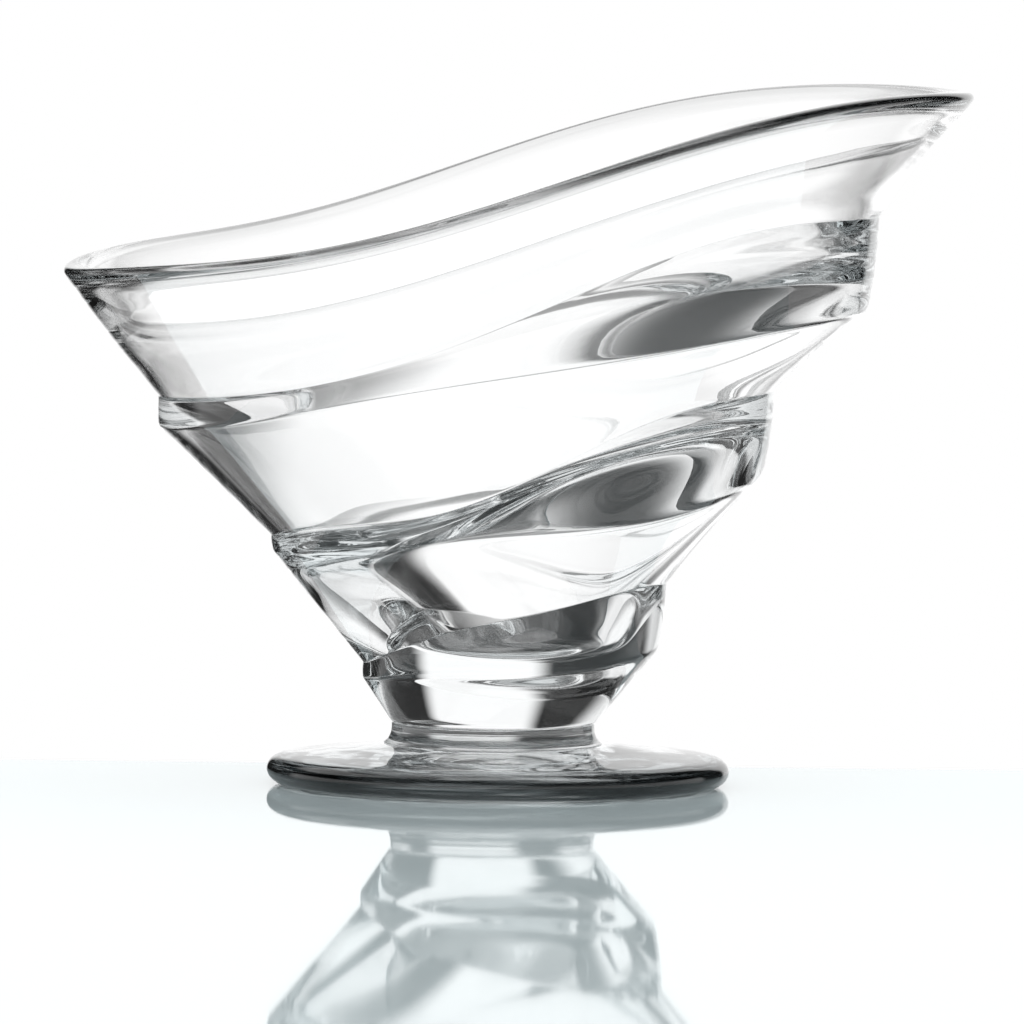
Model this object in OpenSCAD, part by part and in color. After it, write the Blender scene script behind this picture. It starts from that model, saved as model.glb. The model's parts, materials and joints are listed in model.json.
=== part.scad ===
// Footed dessert glass: a pressed bowl of stacked, swept tiers on a collar and a round foot.
// The low side is at -X and the high side at +X. The foot rests on Z = 0 about the origin.

/* [Foot] */
// Diameter of the foot
foot_d = 72; // [64:0.5:84]
// Thickness of the foot's rounded edge
foot_edge_h = 4.8; // [3.6:0.1:5.6]
// Height of the flat land on top of the foot that carries the collar
foot_seat_h = 6.6; // [6.2:0.1:9]
// Width of the land left around the collar
foot_land_w = 1.2; // [0.9:0.1:3]
// Width of the ring underneath that the glass rests on
foot_ring_w = 5; // [3:0.5:8]
// Depth of the shallow hollow inside the resting ring
foot_hollow_h = 1.2; // [0.4:0.1:2]

/* [Collar] */
// Diameter of the collar at its rounded lower edge
collar_d = 33; // [30:0.5:36]
// How far the collar's waist is drawn in from that edge
collar_waist_in = 0.7; // [0.3:0.1:1]
// Height of the collar
collar_h = 3.2; // [2.4:0.1:5]
// Offset of the collar and of the bowl's base towards the low side
collar_shift = 0.8; // [0:0.1:0.8]

/* [Knob] */
// Height of the knob on the low side
knob_low_h = 6.8; // [5:0.2:10]
// Height of the knob on the high side
knob_high_h = 11.6; // [9:0.2:15]

/* [Lower band] */
// Diameter at the band's lower edge
lower_band_foot_d = 45.8; // [42:0.2:46.4]
// Diameter at the band's upper edge
lower_band_top_d = 47; // [46:0.2:52]
// Height of the band on the low side
lower_band_low_h = 2.4; // [1.6:0.1:5]
// Height of the band on the high side
lower_band_high_h = 10.4; // [7:0.2:14]
// Offset of the band's lower edge towards the high side
lower_band_foot_shift = 1.8; // [0:0.1:3]
// Offset of the band's upper edge towards the high side
lower_band_top_shift = 2.4; // [0:0.1:4]

/* [Lower tier] */
// Height of the tier on the low side
lower_tier_low_h = 17.2; // [13:0.2:22]
// Height of the tier on the high side
lower_tier_high_h = 17; // [13:0.2:22]
// How far the high side of the tier is drawn in
lower_tier_high_hollow = 0.5; // [0:0.1:1]

/* [Middle band] */
// Diameter at the band's lower edge
middle_band_foot_d = 75.8; // [70:0.2:77]
// Diameter at the band's upper edge
middle_band_top_d = 78; // [76:0.2:84]
// Height of the band on the low side
middle_band_low_h = 2.4; // [1.6:0.1:5]
// Height of the band on the high side
middle_band_high_h = 13.2; // [9:0.2:17]
// Offset of the band's lower edge towards the high side
middle_band_foot_shift = 2.7; // [0:0.1:4]
// Offset of the band's upper edge towards the high side
middle_band_top_shift = 3.4; // [0:0.1:5]

/* [Middle tier] */
// Height of the tier on the low side
middle_tier_low_h = 17; // [13:0.2:22]
// Height of the tier on the high side
middle_tier_high_h = 12.4; // [9:0.2:18]
// How far the high side of the tier is drawn in
middle_tier_high_hollow = 0.8; // [0:0.1:1.6]

/* [Upper band] */
// Diameter at the band's lower edge
upper_band_foot_d = 109.8; // [105:0.2:110.4]
// Diameter at the band's upper edge
upper_band_top_d = 111.6; // [110.6:0.2:116]
// Height of the band on the low side
upper_band_low_h = 4.6; // [3:0.1:8]
// Height of the band on the high side
upper_band_high_h = 14.6; // [10:0.2:19]
// Offset of the band's lower edge towards the high side
upper_band_foot_shift = 1.7; // [0:0.1:4]
// Offset of the band's upper edge towards the high side
upper_band_top_shift = 2.5; // [0:0.1:4]

/* [Upper tier and rim] */
// Height of the tier on the low side
upper_tier_low_h = 17; // [14:0.2:23]
// Height of the tier on the high side
upper_tier_high_h = 16.3; // [13:0.1:23]
// Diameter across the rim
rim_d = 138; // [132:0.2:148]
// Offset of the rim towards the high side
rim_shift = 2.3; // [0:0.1:4]
// How far the low side of the top tier bulges out
upper_tier_low_bulge = 0.3; // [0:0.1:1.5]
// How far the high side of the top tier is drawn in
upper_tier_high_hollow = 0.9; // [0:0.1:2]

/* [Lip] */
// Thickness of the lip, measured square to the wall
lip_t = 4; // [3.4:0.1:4.6]
// Height of the lip's flat top above the end of the outer wall
lip_h = 3.2; // [2.6:0.1:4]
// Radius of the lip's outer corner
lip_outer_r = 1; // [0.6:0.1:1.2]
// Radius of the lip's inner corner
lip_inner_r = 3; // [1.4:0.1:3.2]
// How far below the end of the outer wall the lip has thinned to the wall
lip_bead_h = 2.3; // [1.6:0.1:4]
// Thickness of the wall under the lip, measured level
lip_wall_t = 3.9; // [3.2:0.1:4.6]

/* [Inside of the upper tier] */
// How far the edge inside the upper band is set in from the band's upper edge
upper_inner_in = 1.75; // [1.4:0.05:2.4]
// How far that edge is moved towards the low side
upper_inner_shift = 1.05; // [0.4:0.05:1.2]
// How far that edge lies above the band's upper edge on the low side
upper_inner_low_rise = 2; // [0.6:0.1:2.4]
// How far the low side of the wall inside the tier bulges out
upper_inner_low_bulge = 1.2; // [0:0.1:1.4]

/* [Step inside the upper band] */
// How far the foot of the step is set in from its edge
upper_step_in = 0.75; // [0.6:0.05:1.6]
// How far the foot of the step is moved towards the high side
upper_step_shift = 0.55; // [0:0.05:0.6]
// Height of the step on the low side
upper_step_low_h = 3.2; // [2:0.1:4.4]
// Height of the step on the high side
upper_step_high_h = 7; // [4:0.2:9]

/* [Step inside the middle band] */
// How far the edge inside the middle band is set in from the band's upper edge
middle_inner_in = 3.5; // [2.6:0.1:5]
// How far that edge is moved towards the low side
middle_inner_shift = 0.4; // [0:0.1:0.8]
// How far the foot of the step is set in from its edge
middle_step_in = 0.3; // [0.2:0.1:1]
// How far the foot of the step is moved towards the low side
middle_step_shift = 0.2; // [0:0.1:0.2]
// Height of the step on the low side
middle_step_low_h = 0.3; // [0.2:0.1:1]
// Height of the step on the high side
middle_step_high_h = 5; // [3:0.2:8]

/* [Shelf and floor] */
// How far the shelf's inner edge is set in from the middle band's upper edge
shelf_in = 7.6; // [6:0.1:10]
// Height of the shelf's slope
shelf_h = 1.2; // [0.6:0.1:2]
// Diameter of the floor inside the bowl
floor_d = 25; // [18:0.5:28]
// Height of the dished floor above the collar at its middle
floor_h = 10.4; // [8:0.2:12]
// Height of the floor's round corner above its middle, on the low side
floor_low_rise = 2.6; // [1:0.2:4]
// Height of the floor's round corner above its middle, on the high side
floor_high_rise = 5.4; // [3:0.2:8]

/* [Hidden] */
$fn = 96;
glass_colour = [0.86, 0.9, 0.91];
collar_colour = [0.8, 0.86, 0.88];
foot_colour = [0.74, 0.8, 0.82];

// How the bowl is divided: sides around it, and rings up each wall, band and shelf
sides = 90;
tier_rings = 5;
band_rings = 3;
step_rings = 2;
lip_outer_rings = 3;
lip_inner_rings = 2;
upright = 90;
stations = 12;
half_turn_stations = stations / 2;
first_front = 1;
station_step = 360 / stations;
smallest_sine = 0.000001;

// How far each edge has climbed from the low side to the high side, at 30 degree stations
rim_front_shares = [0, 0.05, 0.18, 0.52, 0.9, 1.03, 1];
rim_back_shares = [0, 0.06, 0.19, 0.58, 0.9, 0.98, 1];
upper_band_top_shares = [0, 0.04, 0.18, 0.53, 0.92, 1.02, 1];
upper_band_foot_shares = [0, 0.06, 0.3, 0.58, 0.81, 0.97, 1];
middle_band_top_shares = [0, 0.09, 0.19, 0.47, 0.86, 0.99, 1];
middle_band_foot_shares = [0, 0.01, 0.21, 0.4, 0.53, 0.83, 1];
lower_band_top_shares = [0, 0.14, 0.44, 0.68, 0.89, 1.01, 1];
lower_band_foot_shares = [0, 0.13, 0.32, 0.38, 0.54, 0.84, 1];
upper_step_shares = [0, 0.05, 0.23, 0.66, 0.98, 1.02, 1];
middle_step_shares = [0, 0.1, 0.23, 0.56, 0.88, 1, 1];
floor_shares = [0, 0.06, 0.22, 0.5, 0.78, 0.94, 1];

// Heights of the edges on the low side and on the high side, each standing on the one below
seat_z = foot_seat_h + collar_h;
lower_foot_z = [seat_z + knob_low_h, seat_z + knob_high_h];
lower_top_z = lower_foot_z + [lower_band_low_h, lower_band_high_h];
middle_foot_z = lower_top_z + [lower_tier_low_h, lower_tier_high_h];
middle_top_z = middle_foot_z + [middle_band_low_h, middle_band_high_h];
upper_foot_z = middle_top_z + [middle_tier_low_h, middle_tier_high_h];
upper_top_z = upper_foot_z + [upper_band_low_h, upper_band_high_h];
rim_z = upper_top_z + [upper_tier_low_h, upper_tier_high_h];
floor_z = seat_z + floor_h;
floor_corner_z = [floor_z + floor_low_rise, floor_z + floor_high_rise];

// Foot: a round edge, a flat cone on top and a shallow hollow underneath
foot_round_r = foot_edge_h / 2;
ring_out_r = foot_d / 2 - foot_round_r;
ring_in_r = ring_out_r - foot_ring_w;
foot_land_r = collar_d / 2 + foot_land_w;
collar_waist_r = collar_d / 2 - collar_waist_in;

// Lean of the lip: the wall's slope averaged over both sides of the upper tier
lip_run = (rim_d - upper_band_top_d) / 2;
lip_climb = (upper_tier_low_h + upper_tier_high_h) / 2;
lip_lean = atan(lip_run / lip_climb);

// An edge is [diameter, shift, [low height, high height], front shares, back shares]
function edge(d, shift, z, front, back) = [d, shift, z, ring_of_shares(front, back)];

// Shares for the stations around the bowl, from the high side over the back and the front
function ring_of_shares(front, back) = concat(
    [for (i = [0:half_turn_stations]) back[half_turn_stations - i]],
    [for (i = [first_front:half_turn_stations - 1]) front[i]]
);

// Smooth periodic curve through the stations
function station_weight(a) =
    abs(sin(a / 2)) < smallest_sine ? 1 : sin(stations * a / 2) / (stations * tan(a / 2));
function climb(ring, a) = ring * [for (i = [0:stations - 1]) station_weight(a - i * station_step)];

function edge_r(e) = e[0] / 2;
function edge_z(e, a) = e[2][0] + (e[2][1] - e[2][0]) * climb(e[3], a);

// A point at angle a between two edges, at share t of the way up, moved out level by bulge
function wall_point(low, high, a, t, bulge) = let (
    r = edge_r(low) + (edge_r(high) - edge_r(low)) * t + bulge,
    shift = low[1] + (high[1] - low[1]) * t,
    z = edge_z(low, a) + (edge_z(high, a) - edge_z(low, a)) * t
) [shift + r * cos(a), r * sin(a), z];

function angles() = [for (i = [0:sides - 1]) 360 * i / sides];
function arch(t) = 4 * t * (1 - t);

// Rings of points from one edge to the next, without the last ring
function wall_rings(low, high, rings, low_bulge, high_bulge) = [
    for (k = [0:rings - 1]) let (t = k / rings) [
        for (a = angles()) let (side_share = (1 + cos(a)) / 2)
            wall_point(low, high, a, t, arch(t) * (low_bulge * (1 - side_share) + high_bulge * side_share))
    ]
];

function edge_ring(e) = [for (a = angles()) wall_point(e, e, a, 0, 0)];

knob_base = edge(2 * collar_waist_r, -collar_shift, [seat_z, seat_z], floor_shares, floor_shares);
lower_foot = edge(lower_band_foot_d, lower_band_foot_shift, lower_foot_z,
    lower_band_foot_shares, lower_band_foot_shares);
lower_top = edge(lower_band_top_d, lower_band_top_shift, lower_top_z,
    lower_band_top_shares, lower_band_top_shares);
middle_foot = edge(middle_band_foot_d, middle_band_foot_shift, middle_foot_z,
    middle_band_foot_shares, middle_band_foot_shares);
middle_top = edge(middle_band_top_d, middle_band_top_shift, middle_top_z,
    middle_band_top_shares, middle_band_top_shares);
upper_foot = edge(upper_band_foot_d, upper_band_foot_shift, upper_foot_z,
    upper_band_foot_shares, upper_band_foot_shares);
upper_top = edge(upper_band_top_d, upper_band_top_shift, upper_top_z,
    upper_band_top_shares, upper_band_top_shares);
rim = edge(rim_d, rim_shift, rim_z, rim_front_shares, rim_back_shares);

// The edges inside the bowl: each band has a step inside it, deeper towards the high side
inner_upper_d = upper_band_top_d - 2 * upper_inner_in;
inner_upper_shift = upper_band_top_shift - upper_inner_shift;
inner_upper_z = upper_top_z + [upper_inner_low_rise, 0];
inner_upper = edge(inner_upper_d, inner_upper_shift, inner_upper_z,
    upper_band_top_shares, upper_band_top_shares);
inner_upper_foot = edge(inner_upper_d - 2 * upper_step_in, inner_upper_shift + upper_step_shift,
    inner_upper_z - [upper_step_low_h, upper_step_high_h], upper_step_shares, upper_step_shares);
inner_middle_d = middle_band_top_d - 2 * middle_inner_in;
inner_middle_shift = middle_band_top_shift - middle_inner_shift;
inner_middle_foot_z = middle_top_z - [middle_step_low_h, middle_step_high_h];
inner_middle = edge(inner_middle_d, inner_middle_shift, middle_top_z,
    middle_band_top_shares, middle_band_top_shares);
inner_middle_foot = edge(inner_middle_d - 2 * middle_step_in, inner_middle_shift - middle_step_shift,
    inner_middle_foot_z, middle_step_shares, middle_step_shares);
inner_shelf = edge(middle_band_top_d - 2 * shelf_in, inner_middle_shift,
    inner_middle_foot_z - [shelf_h, shelf_h], middle_step_shares, middle_step_shares);
inner_floor = edge(floor_d, lower_band_top_shift, floor_corner_z, floor_shares, floor_shares);

// The lip leans out with the wall: a small round outside, a flat top and a larger round inside.
// A point at turn on a round whose middle lies depth inside the line of the outer wall.
function lip_point(a, turn, round_r, depth) = let (
    middle_up = lip_h - round_r,
    middle_out = (middle_up * sin(lip_lean) - depth) / cos(lip_lean),
    r = edge_r(rim) + middle_out + round_r * cos(turn)
) [rim_shift + r * cos(a), r * sin(a), edge_z(rim, a) + middle_up + round_r * sin(turn)];
lip_outer_turn = (upright + lip_lean) / lip_outer_rings;
lip_inner_turn = (upright - lip_lean) / lip_inner_rings;
lip = concat(
    [
        for (k = [0:lip_outer_rings])
            [for (a = angles()) lip_point(a, lip_outer_turn * k - lip_lean, lip_outer_r, lip_outer_r)]
    ],
    [
        for (k = [0:lip_inner_rings])
            [for (a = angles()) lip_point(a, lip_inner_turn * k + upright, lip_inner_r, lip_t - lip_inner_r)]
    ]
);

// Where the lip has thinned to the wall, at share bead_up of the way up the top tier
bead_up = 1 - lip_bead_h / lip_climb;
inner_bead = edge(
    upper_band_top_d + (rim_d - upper_band_top_d) * bead_up - 2 * lip_wall_t,
    rim_shift,
    upper_top_z + (rim_z - upper_top_z) * bead_up,
    rim_front_shares, rim_back_shares
);

outer_rings = concat(
    wall_rings(knob_base, lower_foot, band_rings, 0, 0),
    wall_rings(lower_foot, lower_top, band_rings, 0, 0),
    wall_rings(lower_top, middle_foot, tier_rings, 0, -lower_tier_high_hollow),
    wall_rings(middle_foot, middle_top, band_rings, 0, 0),
    wall_rings(middle_top, upper_foot, tier_rings, 0, -middle_tier_high_hollow),
    wall_rings(upper_foot, upper_top, band_rings, 0, 0),
    wall_rings(upper_top, rim, tier_rings, upper_tier_low_bulge, -upper_tier_high_hollow)
);
inner_walls = concat(
    wall_rings(inner_floor, inner_shelf, tier_rings, 0, 0),
    [edge_ring(inner_shelf)],
    wall_rings(inner_middle_foot, inner_middle, step_rings, 0, 0),
    wall_rings(inner_middle, inner_upper_foot, tier_rings, 0, 0),
    wall_rings(inner_upper_foot, inner_upper, step_rings, 0, 0),
    wall_rings(inner_upper, inner_bead, tier_rings, upper_inner_low_bulge, 0),
    [edge_ring(inner_bead)]
);
// The floor is dished: rings that close in on its middle as a shallow round
floor_ring_shares = [0.3, 0.6, 0.82];
floor_rings = [
    for (t = floor_ring_shares) [
        for (p = edge_ring(inner_floor))
            [
                lower_band_top_shift + (p[0] - lower_band_top_shift) * t,
                p[1] * t,
                floor_z + (p[2] - floor_z) * (1 - sqrt(1 - t * t))
            ]
    ]
];
inner_rings = concat(floor_rings, inner_walls);
last = len(inner_rings) - 1;
rings = concat(outer_rings, lip, [for (k = [0:last]) inner_rings[last - k]]);
ring_count = len(rings);

module bowl()
{
    points = concat(
        [for (ring = rings) each ring],
        [[-collar_shift, 0, seat_z], [lower_band_top_shift, 0, floor_z]]
    );
    seat_middle = ring_count * sides;
    floor_middle = seat_middle + 1;
    top = (ring_count - 1) * sides;
    faces = concat(
        [for (i = [0:sides - 1]) [seat_middle, i, (i + 1) % sides]],
        [
            for (k = [0:ring_count - 2], i = [0:sides - 1]) let (j = (i + 1) % sides, row = k * sides)
                each [
                    [row + i, row + sides + i, row + sides + j],
                    [row + i, row + sides + j, row + j]
                ]
        ],
        [for (i = [0:sides - 1]) [floor_middle, top + (i + 1) % sides, top + i]]
    );
    color(glass_colour)
        polyhedron(points = points, faces = faces, convexity = 10);
}

module joining_collar()
{
    color(collar_colour)
        translate([-collar_shift, 0, foot_seat_h])
            rotate_extrude()
                union() {
                    square([collar_waist_r, collar_h]);
                    translate([collar_waist_r, collar_waist_in])
                        circle(collar_waist_in);
                }
}

module foot()
{
    color(foot_colour)
        rotate_extrude()
            difference() {
                union() {
                    polygon([
                        [0, 0],
                        [ring_out_r, 0],
                        [ring_out_r, foot_edge_h],
                        [foot_land_r, foot_seat_h],
                        [0, foot_seat_h]
                    ]);
                    translate([ring_out_r, foot_round_r])
                        circle(foot_round_r);
                }
                polygon([[0, 0], [ring_in_r, 0], [0, foot_hollow_h]]);
            }
}

bowl();
joining_collar();
foot();
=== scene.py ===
import math
import json

import bpy
import numpy as np
from mathutils import Matrix, Vector

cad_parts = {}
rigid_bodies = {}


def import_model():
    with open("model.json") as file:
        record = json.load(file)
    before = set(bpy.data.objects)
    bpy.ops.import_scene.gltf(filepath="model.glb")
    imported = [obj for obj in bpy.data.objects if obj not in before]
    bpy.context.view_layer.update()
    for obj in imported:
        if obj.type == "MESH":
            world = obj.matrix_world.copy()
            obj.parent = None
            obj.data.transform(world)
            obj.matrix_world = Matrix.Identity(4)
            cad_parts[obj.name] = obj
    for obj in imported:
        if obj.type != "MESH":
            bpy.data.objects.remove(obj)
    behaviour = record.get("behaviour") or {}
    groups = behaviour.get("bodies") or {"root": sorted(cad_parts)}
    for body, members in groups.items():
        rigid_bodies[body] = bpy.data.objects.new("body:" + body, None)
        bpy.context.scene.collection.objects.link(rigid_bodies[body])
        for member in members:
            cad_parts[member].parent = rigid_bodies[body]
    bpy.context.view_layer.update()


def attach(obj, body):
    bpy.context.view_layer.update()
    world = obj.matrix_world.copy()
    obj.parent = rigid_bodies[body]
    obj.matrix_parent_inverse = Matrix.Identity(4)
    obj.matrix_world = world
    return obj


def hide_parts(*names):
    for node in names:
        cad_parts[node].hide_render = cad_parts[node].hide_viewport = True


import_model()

# Foot
# A thick round foot, pressed on its own from clear glass and fused on while hot. Its edge is
# rolled round, its top is a shallow cone with faint flow ripples, and it rests on a ring.
MM = 0.001
AROUND = 84
GLASS_IOR = 1.52
GLASS_DEPTH = (0.42, 0.5, 0.52, 1.0)
SKIN_GRAIN = 1.6

# The painted charcoal shade on the rolled edge: where it starts and is full, and its streaks per metre
EDGE_SHADE_START_R = 33.2
EDGE_SHADE_FULL_R = 35.3
SHADE_STREAK_STRETCH = (40.0, 40.0, 900.0)

# Each ring is (radius, height), from the middle underneath, round the edge, to the middle on top
foot_rings = [
    (6.0, 1.05),
    (16.0, 0.62),
    (25.5, 0.2),
    (28.2, 0.02),
    (29.2, 0.0),
    (31.4, 0.0),
    (33.4, 0.02),
    (34.9, 0.5),
    (35.75, 1.4),
    (36.0, 2.4),
    (35.75, 3.4),
    (34.9, 4.25),
    (33.4, 4.78),
    (30.0, 5.15),
    (25.0, 5.65),
    (20.5, 6.15),
    (18.3, 6.48),
    (17.2, 6.6),
    (12.0, 6.62),
    (5.0, 6.62),
]


def select_none():
    """Leaves nothing selected, so that an operator acts only on what is made next."""
    for thing in bpy.context.view_layer.objects:
        thing.select_set(False)


def turned_piece(name, rings, centre_x=0.0):
    """A round piece of pressed glass, drawn up ring by ring from a circle and closed at both ends."""
    select_none()
    first_r, first_z = rings[0]
    bpy.ops.mesh.primitive_circle_add(
        vertices=AROUND, radius=first_r * MM, location=(centre_x, 0.0, first_z * MM), fill_type="NGON"
    )
    piece = bpy.context.object
    piece.name = name
    bpy.ops.object.mode_set(mode="EDIT")
    bpy.ops.mesh.select_mode(type="EDGE")
    bpy.ops.mesh.select_all(action="SELECT")
    bpy.ops.mesh.region_to_loop()
    for (r, z), (next_r, next_z) in zip(rings, rings[1:]):
        bpy.ops.mesh.extrude_edges_move(TRANSFORM_OT_translate={"value": (0.0, 0.0, (next_z - z) * MM)})
        bpy.ops.transform.resize(
            value=(next_r / r, next_r / r, 1.0), center_override=(centre_x, 0.0, next_z * MM)
        )
    bpy.ops.mesh.edge_face_add()
    bpy.ops.mesh.select_all(action="SELECT")
    bpy.ops.mesh.normals_make_consistent(inside=False)
    bpy.ops.object.mode_set(mode="OBJECT")
    bpy.ops.object.transform_apply(location=True, rotation=True, scale=True)
    return piece


def finish_smooth(piece, levels):
    """Rounds the piece with an applied Subdivision Surface and shades it smooth."""
    select_none()
    piece.select_set(True)
    bpy.context.view_layer.objects.active = piece
    smooth = piece.modifiers.new("smooth", "SUBSURF")
    smooth.levels = levels
    smooth.render_levels = levels
    smooth.use_limit_surface = False
    bpy.ops.object.modifier_apply(modifier=smooth.name)
    bpy.ops.object.shade_smooth()


def add_node(tree, kind, **settings):
    """Adds a node to a shader tree and sets its properties."""
    node = tree.nodes.new(kind)
    for name, value in settings.items():
        setattr(node, name, value)
    return node


def ramp(tree, value, start, end, out_start, out_end, curve="SMOOTHSTEP"):
    """A step of a value from one level to another between two bounds."""
    step = add_node(tree, "ShaderNodeMapRange", interpolation_type=curve)
    step.inputs["From Min"].default_value = start
    step.inputs["From Max"].default_value = end
    step.inputs["To Min"].default_value = out_start
    step.inputs["To Max"].default_value = out_end
    tree.links.new(value, step.inputs["Value"])
    return step.outputs["Result"]


def combine(tree, operation, first, second):
    """One Math node between two values."""
    math_node = add_node(tree, "ShaderNodeMath", operation=operation)
    for socket, value in zip(math_node.inputs, (first, second)):
        if isinstance(value, float):
            socket.default_value = value
        else:
            tree.links.new(value, socket)
    return math_node.outputs["Value"]


def scaled(tree, place, factors):
    """A place with each of its coordinates multiplied by a factor."""
    product = add_node(tree, "ShaderNodeVectorMath", operation="MULTIPLY")
    product.inputs[1].default_value = factors
    tree.links.new(place, product.inputs[0])
    return product.outputs["Vector"]


def reach_of(tree, spot):
    """Distance of a point from the middle of the glass."""
    span = add_node(tree, "ShaderNodeVectorMath", operation="LENGTH")
    tree.links.new(spot, span.inputs[0])
    return span.outputs["Value"]


def uneven_bump(tree, place, size, detail, roughness, depth, normal=None):
    """A bump from a cloudy pattern of the given grain size and depth, on top of another bump."""
    cloud = add_node(tree, "ShaderNodeTexNoise")
    cloud.inputs["Scale"].default_value = 1.0 / (size * MM)
    cloud.inputs["Detail"].default_value = detail
    cloud.inputs["Roughness"].default_value = roughness
    tree.links.new(place, cloud.inputs["Vector"])
    bump = add_node(tree, "ShaderNodeBump")
    bump.inputs["Strength"].default_value = 1.0
    bump.inputs["Distance"].default_value = depth * MM
    tree.links.new(cloud.outputs["Fac"], bump.inputs["Height"])
    if normal:
        tree.links.new(normal, bump.inputs["Normal"])
    return bump.outputs["Normal"]


def pressed_glass(name, wave_size, wave_depth, skin_depth, depth_density):
    """Clear pressed glass: long soft mould waves, a fine chilled skin and a faint cool depth."""
    glass = bpy.data.materials.new(name)
    glass.use_nodes = True
    tree = glass.node_tree
    tree.nodes.clear()
    output = add_node(tree, "ShaderNodeOutputMaterial")
    surface = add_node(tree, "ShaderNodeBsdfPrincipled")
    surface.inputs["Base Color"].default_value = (1.0, 1.0, 1.0, 1.0)
    surface.inputs["Transmission Weight"].default_value = 1.0
    surface.inputs["Roughness"].default_value = 0.0
    surface.inputs["IOR"].default_value = GLASS_IOR
    tree.links.new(surface.outputs["BSDF"], output.inputs["Surface"])
    place = add_node(tree, "ShaderNodeTexCoord").outputs["Object"]
    waves = uneven_bump(tree, place, wave_size, 1.0, 0.4, wave_depth)
    skin = uneven_bump(tree, place, SKIN_GRAIN, 2.0, 0.5, skin_depth, waves)
    tree.links.new(skin, surface.inputs["Normal"])
    depth = add_node(tree, "ShaderNodeVolumeAbsorption")
    depth.inputs["Color"].default_value = GLASS_DEPTH
    depth.inputs["Density"].default_value = depth_density
    tree.links.new(depth.outputs["Volume"], output.inputs["Volume"])
    return glass


def paint_edge_shade(glass, amount, dark):
    """Paints charcoal shade into the glass colour where amount is 1, standing in for the dark look of a
    fire-finished edge that gathers light from all round.
    """
    tree = glass.node_tree
    edge_shade_mix = add_node(tree, "ShaderNodeMix", data_type="RGBA")
    clear_colour, shade_colour = [socket for socket in edge_shade_mix.inputs if socket.type == "RGBA"]
    mixed_colour = [socket for socket in edge_shade_mix.outputs if socket.type == "RGBA"][0]
    clear_colour.default_value = (1.0, 1.0, 1.0, 1.0)
    shade_colour.default_value = (dark, dark * 1.1, dark * 1.15, 1.0)
    tree.links.new(amount, edge_shade_mix.inputs["Factor"])
    tree.links.new(mixed_colour, tree.nodes["Principled BSDF"].inputs["Base Color"])


foot = turned_piece("foot_disc", foot_rings)
finish_smooth(foot, 2)
foot_glass = pressed_glass(
    "foot_glass_pressed", wave_size=9.0, wave_depth=0.16, skin_depth=0.002, depth_density=14.0
)
tree = foot_glass.node_tree
place = add_node(tree, "ShaderNodeTexCoord").outputs["Object"]
radius = reach_of(tree, scaled(tree, place, (1.0, 1.0, 0.0)))
# Painted shade: a charcoal band round the foot's rolled edge, broken by streaks, stands in for the dark
# look of thick glass there
rolled_edge_shade = ramp(tree, radius, EDGE_SHADE_START_R * MM, EDGE_SHADE_FULL_R * MM, 0.0, 1.0)
shade_streaks = add_node(tree, "ShaderNodeTexNoise")
shade_streaks.inputs["Scale"].default_value = 1.0
shade_streaks.inputs["Detail"].default_value = 3.0
tree.links.new(scaled(tree, place, SHADE_STREAK_STRETCH), shade_streaks.inputs["Vector"])
shade_streak_gaps = ramp(tree, shade_streaks.outputs["Fac"], 0.55, 0.68, 1.0, 0.45, "LINEAR")
paint_edge_shade(foot_glass, combine(tree, "MULTIPLY", rolled_edge_shade, shade_streak_gaps), dark=0.03)
foot.data.materials.append(foot_glass)
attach(foot, "root")
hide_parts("foot")

# Joining collar
# The short ring of glass by which the bowl is stuck to the foot: a drawn-in waist between the
# two bodies, with its lower edge pulled out into a round flare where it melted onto the foot.
COLLAR_SHIFT = -0.8

collar_rings = [
    (7.0, 6.58),
    (14.0, 6.58),
    (16.9, 6.6),
    (17.0, 6.68),
    (16.55, 6.95),
    (16.1, 7.5),
    (15.85, 8.2),
    (15.75, 8.9),
    (15.75, 9.6),
    (15.7, 9.82),
    (14.5, 9.84),
    (7.0, 9.84),
]

collar = turned_piece("joining_ring", collar_rings, COLLAR_SHIFT * MM)
finish_smooth(collar, 2)
collar_glass = pressed_glass(
    "collar_glass_fused", wave_size=5.0, wave_depth=0.05, skin_depth=0.002, depth_density=6.0
)
collar.data.materials.append(collar_glass)
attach(collar, "root")
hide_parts("joining_collar")

# Bowl
# The bowl is one pressing of clear glass: a solid knob, three flared tiers and the upright bands
# between them. Every edge sweeps up from the low side at -X to the high side at +X.


def swept_edge(diameter, shift, low, high, front, back=None):
    """Points round one edge, which climbs from its low side to its high side. The shares say how
    far it has climbed at every 30 degrees, in front and behind."""
    stations = (back or front)[::-1] + front[1:-1]
    count = len(stations)
    points = np.zeros((AROUND, 3))
    for i in range(AROUND):
        angle = 2.0 * math.pi * i / AROUND
        climb = 0.0
        for k, share in enumerate(stations):
            off = angle - 2.0 * math.pi * k / count
            if abs(math.sin(off / 2.0)) < 1e-6:
                weight = 1.0
            else:
                weight = math.sin(count * off / 2.0) / (count * math.tan(off / 2.0))
            climb += weight * share
        points[i] = (
            shift + diameter / 2.0 * math.cos(angle),
            diameter / 2.0 * math.sin(angle),
            low + (high - low) * climb,
        )
    return points


TURN = 2.0 * math.pi * np.arange(AROUND) / AROUND
HIGH_SIDE = (1.0 + np.cos(TURN)) / 2.0
OUTWARD = np.stack([np.cos(TURN), np.sin(TURN), np.zeros(AROUND)], axis=1)


def around(low_side, high_side):
    """A size that changes smoothly from the low side of the bowl to the high side."""
    return low_side + (high_side - low_side) * HIGH_SIDE


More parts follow.
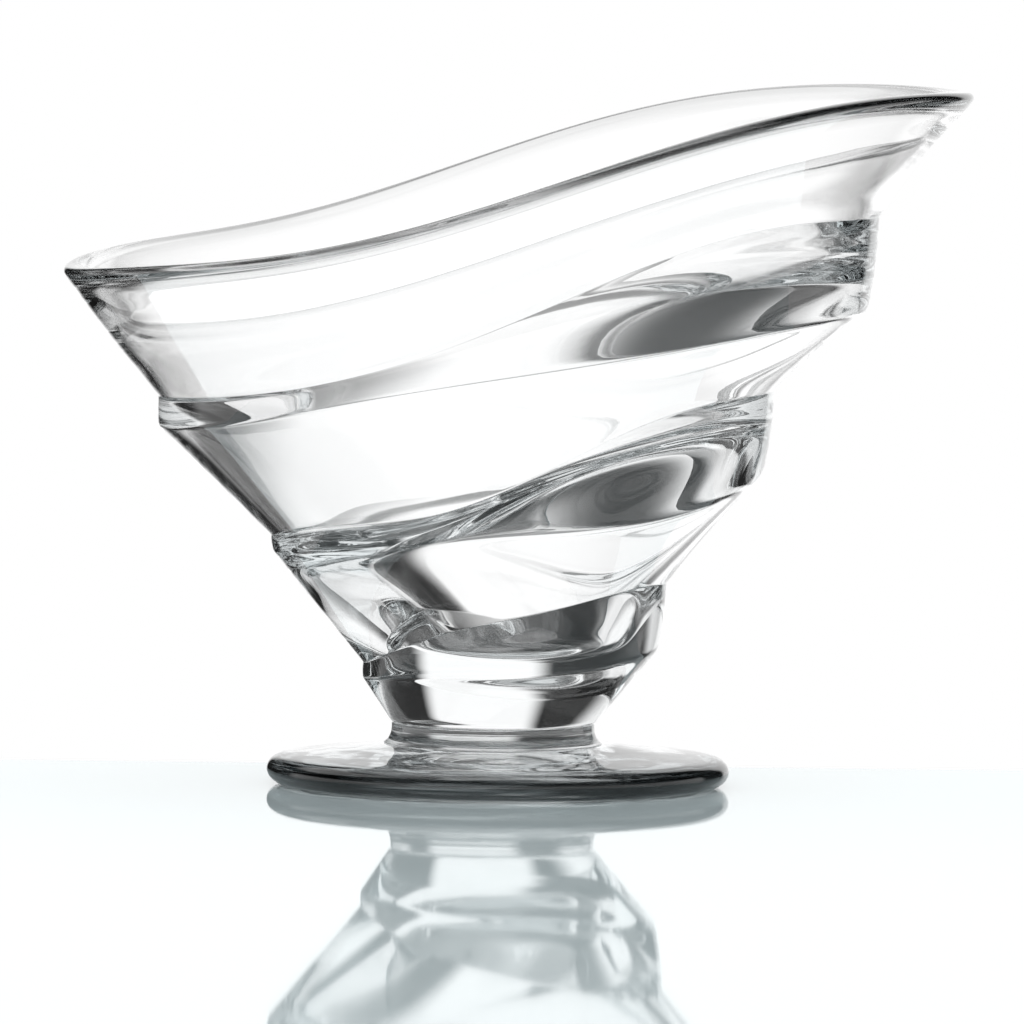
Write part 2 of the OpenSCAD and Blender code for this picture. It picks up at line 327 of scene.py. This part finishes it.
def wall(start, end, middle, start_round, end_round, bulge=(0.0, 0.0)):
    """Rings up a wall between two edges: one close to each edge, which rounds it, and some between."""
    length = np.linalg.norm(end - start, axis=1)
    near = np.minimum(around(*start_round) / length, 0.4)
    far = 1.0 - np.minimum(around(*end_round) / length, 0.4)
    rings = []
    for k in range(middle + 2):
        t = near + (far - near) * k / (middle + 1.0)
        out = 4.0 * t * (1.0 - t) * around(*bulge)
        rings.append(start + (end - start) * t[:, None] + OUTWARD * out[:, None])
    return rings


# The edges on the outside, from the knob's base up to the rim
LEVEL = [0, 0, 0, 0, 0, 0, 0]
MIDDLE_CLIMB = [0, 0.09, 0.19, 0.47, 0.86, 0.99, 1]
UPPER_CLIMB = [0, 0.04, 0.18, 0.53, 0.92, 1.02, 1]
RIM_FRONT = [0, 0.05, 0.18, 0.52, 0.9, 1.03, 1]
RIM_BACK = [0, 0.06, 0.19, 0.58, 0.9, 0.98, 1]
knob_base = swept_edge(31.6, COLLAR_SHIFT, 9.8, 9.8, LEVEL)
lower_foot = swept_edge(45.8, 1.8, 16.6, 21.4, [0, 0.13, 0.32, 0.38, 0.54, 0.84, 1])
lower_top = swept_edge(47.0, 2.4, 19.0, 31.8, [0, 0.14, 0.44, 0.68, 0.89, 1.01, 1])
middle_foot = swept_edge(75.8, 2.7, 36.2, 48.8, [0, 0.01, 0.21, 0.4, 0.53, 0.83, 1])
middle_top = swept_edge(78.0, 3.4, 38.6, 62.0, MIDDLE_CLIMB)
upper_foot = swept_edge(109.8, 1.7, 55.6, 74.4, [0, 0.06, 0.3, 0.58, 0.81, 0.97, 1])
upper_top = swept_edge(111.6, 2.5, 60.2, 89.0, UPPER_CLIMB)
rim = swept_edge(138.0, 2.3, 77.2, 105.3, RIM_FRONT, RIM_BACK)

# The lip has a flat top with a small round outside and a larger one inside, on a wall that leans
# out by 13.2 in 16.65. Its painted charcoal shade, standing in for the dark look of a thick glass
# edge, fades ring by ring towards the walls, and is fainter round the low side
LIP_T = 4.0
LIP_H = 3.2
LIP_OUTER_R = 1.0
LIP_INNER_R = 3.0
LIP_LEAN = math.atan2(13.2, 16.65)
UPRIGHT = math.pi / 2.0
LIP_PAINTED_SHADE = (0.45, 1.0, 1.0, 1.0, 0.9, 0.3, 0.0)
LOW_SIDE_PAINTED_SHADE = 0.62
lip = []
for round_r, depth, turns in (
    (LIP_OUTER_R, LIP_OUTER_R, np.linspace(-LIP_LEAN, UPRIGHT, 4)),
    (LIP_INNER_R, LIP_T - LIP_INNER_R, np.linspace(UPRIGHT, math.pi - LIP_LEAN, 3)),
):
    middle_up = LIP_H - round_r
    middle_out = (middle_up * math.sin(LIP_LEAN) - depth) / math.cos(LIP_LEAN)
    for turn in turns:
        ring = rim + OUTWARD * (middle_out + round_r * math.cos(turn))
        ring[:, 2] += middle_up + round_r * math.sin(turn)
        lip.append(ring)

# The edges inside the bowl, down to the dished floor
inner_bead = swept_edge(126.5, 2.3, 74.8, 103.0, RIM_FRONT, RIM_BACK)
inner_upper = swept_edge(108.1, 1.45, 62.2, 89.0, UPPER_CLIMB)
inner_upper_foot = swept_edge(106.6, 2.0, 59.0, 82.0, [0, 0.05, 0.23, 0.66, 0.98, 1.02, 1])
inner_middle = swept_edge(71.0, 3.0, 38.6, 62.0, MIDDLE_CLIMB)
STEP_CLIMB = [0, 0.1, 0.23, 0.56, 0.88, 1.0, 1]
inner_middle_foot = swept_edge(70.4, 2.8, 38.3, 57.0, STEP_CLIMB)
inner_shelf = swept_edge(62.8, 3.0, 37.1, 55.8, STEP_CLIMB)
FLOOR_CLIMB = [0, 0.06, 0.22, 0.5, 0.78, 0.94, 1]
FLOOR_SHIFT = 2.4
FLOOR_Z = 20.2
inner_floor = swept_edge(25.0, FLOOR_SHIFT, 22.8, 25.6, FLOOR_CLIMB)


def drawn_in(edge, shift, share):
    """A smaller ring inside an edge, at the same heights."""
    ring = edge.copy()
    ring[:, 0] = shift + (ring[:, 0] - shift) * share
    ring[:, 1] = ring[:, 1] * share
    return ring


dish = []
for share in (0.9, 0.75, 0.55, 0.3):
    ring = drawn_in(inner_floor, FLOOR_SHIFT, share)
    ring[:, 2] = FLOOR_Z + (ring[:, 2] - FLOOR_Z) * (1.0 - math.sqrt(1.0 - share * share))
    dish.append(ring)

# At the low side and the high side: how far the nearest ring lies from an edge, and how far a
# band bulges
CRISP = (0.25, 0.25)
LOWER_COVE = (0.5, 1.8)
MIDDLE_COVE = (0.6, 2.2)
UPPER_COVE = (0.6, 1.4)
LOWER_BULGE = (0.1, 0.3)
BAND_BULGE = (0.1, 0.45)

# Every ring, from the knob's base up the outside, over the lip and down to the dish
rings = [drawn_in(knob_base, COLLAR_SHIFT, share) for share in (0.4, 0.8)]
rings += [knob_base]
rings += wall(knob_base, lower_foot, 2, (0.6, 0.6), LOWER_COVE)
rings += [lower_foot]
rings += wall(lower_foot, lower_top, 1, LOWER_COVE, CRISP, LOWER_BULGE)
rings += [lower_top]
rings += wall(lower_top, middle_foot, 3, CRISP, MIDDLE_COVE, (0.0, -0.5))
rings += [middle_foot]
rings += wall(middle_foot, middle_top, 1, MIDDLE_COVE, CRISP, BAND_BULGE)
rings += [middle_top]
rings += wall(middle_top, upper_foot, 3, CRISP, UPPER_COVE, (0.0, -0.8))
rings += [upper_foot]
rings += wall(upper_foot, upper_top, 1, UPPER_COVE, CRISP, BAND_BULGE)
rings += [upper_top]
rings += wall(upper_top, rim, 4, CRISP, (1.0, 1.0), (0.3, -0.9))
lip_start = len(rings)
rings += lip
rings += [inner_bead]
rings += wall(inner_bead, inner_upper, 3, (1.5, 1.5), (3.0, 3.0), (1.2, 0.0))
rings += [(inner_upper * 2.0 + inner_upper_foot) / 3.0]
rings += [(inner_upper + inner_upper_foot * 2.0) / 3.0]
rings += wall(inner_upper_foot, inner_middle, 3, (3.0, 3.5), (2.0, 3.0))
rings += [(inner_middle * 2.0 + inner_middle_foot) / 3.0]
rings += [(inner_middle + inner_middle_foot * 2.0) / 3.0]
rings += wall(inner_middle_foot, inner_shelf, 0, (1.2, 1.2), (1.2, 1.2))
rings += wall(inner_shelf, inner_floor, 4, (1.0, 1.5), (2.0, 2.0))
rings += [inner_floor]
rings += dish

# A circle is extruded once for each ring, and then every ring is laid along its swept line
select_none()
bpy.ops.mesh.primitive_circle_add(vertices=AROUND, radius=10.0 * MM, fill_type="NGON")
bowl = bpy.context.object
bowl.name = "swept_bowl"
bpy.ops.object.mode_set(mode="EDIT")
bpy.ops.mesh.select_mode(type="EDGE")
bpy.ops.mesh.select_all(action="SELECT")
bpy.ops.mesh.region_to_loop()
for ring in rings[1:]:
    bpy.ops.mesh.extrude_edges_move(TRANSFORM_OT_translate={"value": (0.0, 0.0, 1.0 * MM)})
bpy.ops.mesh.edge_face_add()
bpy.ops.object.mode_set(mode="OBJECT")
# Painted shade on the lip rings, stored per point: charcoal that is fainter round the low side
edge_painted_shade = bowl.data.attributes.new("edge_painted_shade", "FLOAT", "POINT")
for vertex in bowl.data.vertices:
    level = round(vertex.co.z / MM)
    step = round(math.atan2(vertex.co.y, vertex.co.x) / (2.0 * math.pi / AROUND)) % AROUND
    vertex.co = Vector(rings[level][step]) * MM
    if lip_start <= level < lip_start + len(lip):
        toward_high = min(max(0.25 + 1.4 * math.cos(TURN[step]), 0.0), 1.0)
        side_shade = LOW_SIDE_PAINTED_SHADE + (1.0 - LOW_SIDE_PAINTED_SHADE) * toward_high
        edge_painted_shade.data[vertex.index].value = LIP_PAINTED_SHADE[level - lip_start] * side_shade
bpy.ops.object.mode_set(mode="EDIT")
bpy.ops.mesh.select_all(action="SELECT")
bpy.ops.mesh.normals_make_consistent(inside=False)
bpy.ops.object.mode_set(mode="OBJECT")
finish_smooth(bowl, 2)
bowl_glass = pressed_glass(
    "bowl_glass_pressed", wave_size=22.0, wave_depth=0.1, skin_depth=0.0006, depth_density=4.0
)
# The lip's painted shade darkens the glass colour
lip_shade = add_node(bowl_glass.node_tree, "ShaderNodeAttribute", attribute_name="edge_painted_shade")
paint_edge_shade(bowl_glass, lip_shade.outputs["Fac"], dark=0.002)
bowl.data.materials.append(bowl_glass)
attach(bowl, "root")
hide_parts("bowl")

# Table, backdrop and light
# A plain pale table with a polished top in an even white surround. Dark flags beside a tall
# white backdrop behind the glass show only in its reflections and refractions.
# Sizes here are in metres. A wedge of directions is (azimuth, inner and outer half-angle) in
# degrees, with 90 straight behind the glass
TABLE_SIZE = (1.6, 0.431)
TABLE_MIDDLE_Y = -0.1775
TABLE_TINT = (0.8, 0.93, 0.96, 1.0)


def level_plane(name, size, middle_y, height):
    """A level plane of the given size, with its place in its mesh."""
    select_none()
    bpy.ops.mesh.primitive_plane_add(size=1.0, location=(0.0, 0.0, 0.0))
    plane = bpy.context.object
    plane.name = name
    bpy.ops.object.mode_set(mode="EDIT")
    bpy.ops.mesh.select_all(action="SELECT")
    bpy.ops.transform.resize(value=(*size, 1.0), center_override=(0.0, 0.0, 0.0))
    bpy.ops.transform.translate(value=(0.0, middle_y, height))
    bpy.ops.object.mode_set(mode="OBJECT")
    return plane


table = level_plane("table_top", TABLE_SIZE, TABLE_MIDDLE_Y, 0.0)
table_finish = bpy.data.materials.new("table_white_polished")
table_finish.use_nodes = True
polish = table_finish.node_tree.nodes["Principled BSDF"]
polish.inputs["Base Color"].default_value = TABLE_TINT
polish.inputs["Roughness"].default_value = 0.03
polish.inputs["IOR"].default_value = 1.5
table.data.materials.append(table_finish)
table.visible_transmission = False


def towards(tree, place, direction):
    """How far a place lies along a direction."""
    along = add_node(tree, "ShaderNodeVectorMath", operation="DOT_PRODUCT")
    along.inputs[1].default_value = direction
    tree.links.new(place, along.inputs[0])
    return along.outputs["Value"]


def sector(tree, place, degrees, inner, outer):
    """1 in a wedge round the glass, centred on an azimuth, and 0 past its outer half-angle."""
    unit = add_node(tree, "ShaderNodeVectorMath", operation="NORMALIZE")
    tree.links.new(scaled(tree, place, (1.0, 1.0, 0.0)), unit.inputs[0])
    azimuth = math.radians(degrees)
    along = towards(tree, unit.outputs["Vector"], (math.cos(azimuth), math.sin(azimuth), 0.0))
    return ramp(tree, along, math.cos(math.radians(outer)), math.cos(math.radians(inner)), 0.0, 1.0)


def brightest(tree, *levels):
    """The highest of several levels."""
    highest = levels[0]
    for level in levels[1:]:
        highest = combine(tree, "MAXIMUM", highest, level)
    return highest


def light_plane(name, size, middle_y, height):
    """A plane that glows by a pattern and is seen only by light that has passed through glass."""
    plane = level_plane(name, size, middle_y, height)
    plane.visible_camera = False
    plane.visible_diffuse = False
    plane.visible_glossy = False
    plane.visible_shadow = False
    glow = bpy.data.materials.new(name + "_glow")
    glow.use_nodes = True
    glow.node_tree.nodes.clear()
    plane.data.materials.append(glow)
    return glow.node_tree


def shine_with(tree, level):
    """Ends a glow pattern in an emission of that strength."""
    shine = add_node(tree, "ShaderNodeEmission")
    tree.links.new(level, shine.inputs["Strength"])
    glow_out = add_node(tree, "ShaderNodeOutputMaterial")
    tree.links.new(shine.outputs["Emission"], glow_out.inputs["Surface"])


# The lit top of the table, as the glass sees it: pale, but dim towards the high side and
# nearly dark under the foot
DIM_SIDE = (-2.0, 2.0, 38.0)
DIM_LEVEL = 0.04
PALE_LEVEL = 0.95
tree = light_plane("table_under_light", TABLE_SIZE, TABLE_MIDDLE_Y, -0.05 * MM)
spot = add_node(tree, "ShaderNodeTexCoord").outputs["Object"]
reach = reach_of(tree, spot)
dimming = combine(tree, "MULTIPLY", sector(tree, spot, *DIM_SIDE), PALE_LEVEL - DIM_LEVEL)
near_table = combine(tree, "SUBTRACT", PALE_LEVEL, dimming)
far_table = ramp(tree, reach, 0.115, 0.17, 0.0, 1.0)
under_foot = ramp(tree, reach, 0.030, 0.036, 0.1, 1.0)
shine_with(tree, combine(tree, "MULTIPLY", brightest(tree, near_table, far_table), under_foot))

# The floor far below the table's edge: pale, with dark flags each side of the backdrop's foot
STUDIO_FLOOR_SIZE = (60.0, 60.0)
STUDIO_FLOOR_Z = -0.25
NEAR_SWEEP = (80.0, 12.0, 22.0)
FAR_SWEEP = (82.0, 14.0, 22.0)
FLAGS = (90.0, 50.0, 60.0)
FAR_FLAGS = (84.0, 31.0, 43.0)
tree = light_plane("studio_floor", STUDIO_FLOOR_SIZE, 0.0, STUDIO_FLOOR_Z)
spot = add_node(tree, "ShaderNodeTexCoord").outputs["Object"]
reach = reach_of(tree, spot)
near_sweep = sector(tree, spot, *NEAR_SWEEP)
near_sweep = combine(tree, "MULTIPLY", near_sweep, ramp(tree, reach, 0.4, 0.9, 0.25, 1.1))
far_sweep = sector(tree, spot, *FAR_SWEEP)
far_sweep = combine(tree, "MULTIPLY", far_sweep, ramp(tree, reach, 1.4, 2.6, 0.0, 1.1))
near_flags = sector(tree, spot, *FLAGS)
near_flags = combine(tree, "MULTIPLY", near_flags, ramp(tree, reach, 0.8, 1.1, 1.0, 0.0))
flagged = brightest(tree, near_flags, sector(tree, spot, *FAR_FLAGS))
open_floor = combine(tree, "SUBTRACT", 1.0, flagged)
near_floor = ramp(tree, reach, 0.36, 0.46, 0.95, 0.0)
floor_level = brightest(tree, near_sweep, far_sweep, open_floor, near_floor)
shine_with(tree, combine(tree, "ADD", floor_level, 0.02))

# The surround: white to the camera and to the table, flags and backdrop to the glass
BACKDROP = (81.0, 14.0, 21.5)
ROOM = (265.0, 50.0, 90.0)
SOFTBOX_WAY = (-0.375, 0.375, 0.848)
scene = bpy.context.scene
surround = bpy.data.worlds.new("studio")
surround.use_nodes = True
tree = surround.node_tree
tree.nodes.clear()
toward = add_node(tree, "ShaderNodeTexCoord").outputs["Generated"]
split = add_node(tree, "ShaderNodeSeparateXYZ")
tree.links.new(toward, split.inputs["Vector"])
up = split.outputs["Z"]
backdrop = sector(tree, toward, *BACKDROP)
backdrop = combine(tree, "MULTIPLY", backdrop, ramp(tree, up, 0.5, 0.75, 1.15, 0.5))
room = sector(tree, toward, *ROOM)
room = combine(tree, "MULTIPLY", room, ramp(tree, up, 0.25, 0.5, 0.5, 0.03))
softbox = ramp(tree, towards(tree, toward, SOFTBOX_WAY), 0.84, 0.92, 0.0, 1.2)
overhead = ramp(tree, up, 0.9, 0.96, 0.02, 1.2)
low_walls = ramp(tree, up, 0.15, 0.27, 1.0, 0.0)
walls = combine(tree, "SUBTRACT", low_walls, sector(tree, toward, *FLAGS))
bright = brightest(tree, backdrop, room, overhead, softbox, walls)
path = add_node(tree, "ShaderNodeLightPath")
plain = combine(tree, "MAXIMUM", path.outputs["Is Camera Ray"], path.outputs["Is Diffuse Ray"])
lit = combine(tree, "MULTIPLY", bright, combine(tree, "SUBTRACT", 1.0, plain))
level = combine(tree, "ADD", lit, plain)
sky = add_node(tree, "ShaderNodeBackground")
sky.inputs["Color"].default_value = (1.0, 1.0, 1.0, 1.0)
sky_out = add_node(tree, "ShaderNodeOutputWorld")
tree.links.new(level, sky.inputs["Strength"])
tree.links.new(sky.outputs["Background"], sky_out.inputs["Surface"])
surround.cycles.sampling_method = "NONE"
scene.world = surround
scene.view_settings.view_transform = "Standard"
GLASS_BOUNCES = 32
scene.cycles.max_bounces = GLASS_BOUNCES
scene.cycles.transmission_bounces = GLASS_BOUNCES
scene.cycles.glossy_bounces = GLASS_BOUNCES

# Camera
# A long lens a little above the table, as in the photograph. It stands where the picture is
# PICTURE_W millimetres wide at the glass.
LENS = 600.0
SENSOR_W = 36.0
PICTURE_W = 158.76
DISTANCE = LENS * PICTURE_W / SENSOR_W * MM
ELEVATION = math.radians(3.9)
ROLL = math.radians(0.6)
lens = bpy.data.cameras.new("long_lens")
lens.lens = LENS
lens.sensor_width = SENSOR_W
lens.clip_start = 0.01
lens.clip_end = 100.0
camera = bpy.data.objects.new("camera", lens)
scene.collection.objects.link(camera)
aim = Vector((1.8, 0.0, 42.5)) * MM
camera.location = aim + Vector((0.0, -math.cos(ELEVATION), math.sin(ELEVATION))) * DISTANCE
look = (aim - camera.location).to_track_quat("-Z", "Y")
camera.rotation_euler = (look.to_matrix() @ Matrix.Rotation(ROLL, 3, "Z")).to_euler()
scene.camera = camera
